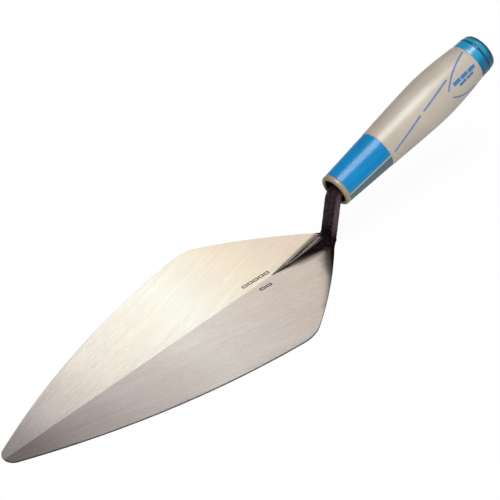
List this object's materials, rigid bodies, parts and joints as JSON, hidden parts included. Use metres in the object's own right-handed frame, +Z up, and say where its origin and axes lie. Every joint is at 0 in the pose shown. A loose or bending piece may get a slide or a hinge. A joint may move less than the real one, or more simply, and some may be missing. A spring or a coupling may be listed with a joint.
{
  "type": "brick trowel",
  "caption": "Brick trowel: pointed forged steel blade on a cranked shank, with a round two-material handle and a translucent strike cap.",
  "frame": {"origin": "centre of the blade's heel, on the flat underside of the blade", "axes": "+X from the heel to the toe, +Z up away from the underside towards the handle, blade symmetric about Y = 0"},
  "size_m": [0.4324, 0.1204, 0.0841],
  "materials": {
    "blade_steel": "ground with fine lengthwise scratches, black forging scale on the shank",
    "core_plastic": "smooth semi-gloss moulding",
    "grip_rubber": "satin thermoplastic rubber",
    "cap_plastic": "glossy translucent moulding",
    "bond_epoxy": "matt cured epoxy"
  },
  "bodies": {
    "root": {"blade_forging": "blade_steel", "handle_core": "core_plastic", "soft_grip": "grip_rubber", "end_cap": "cap_plastic", "tang_bond": "bond_epoxy"}
  },
  "joints": []
}
